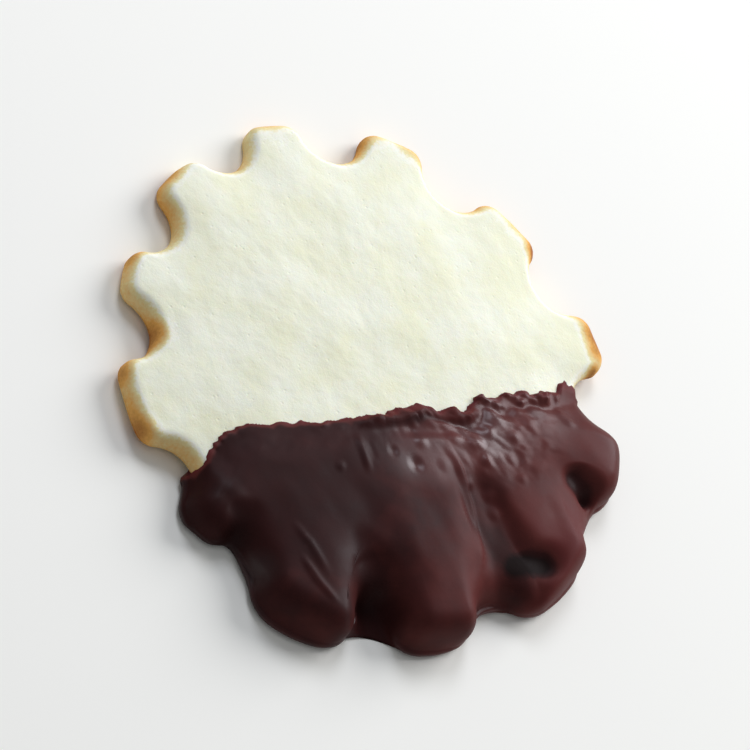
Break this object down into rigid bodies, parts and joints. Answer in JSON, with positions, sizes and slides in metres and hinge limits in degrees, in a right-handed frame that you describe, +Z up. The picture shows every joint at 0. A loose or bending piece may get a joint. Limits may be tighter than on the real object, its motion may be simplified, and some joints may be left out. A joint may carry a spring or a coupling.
{
  "type": "chocolate-dipped shortbread biscuit",
  "caption": "Round fluted shortbread biscuit lying face up, one end dipped in dark chocolate that wraps its top, edge and underside.",
  "frame": {"origin": "on the surface it lies on, under the middle of its outline's bounding box", "axes": "+Z up, out of the biscuit's face; -Y towards the dipped end; X along the edge of the chocolate"},
  "size_m": [0.0748, 0.074, 0.0074],
  "materials": {
    "shortbread": "dry, fine-crumbed baked dough, pale cream with golden lobe tips",
    "chocolate": "set dark chocolate, satin"
  },
  "bodies": {
    "root": {"shortbread": "shortbread", "chocolate_coat": "chocolate"}
  },
  "joints": []
}
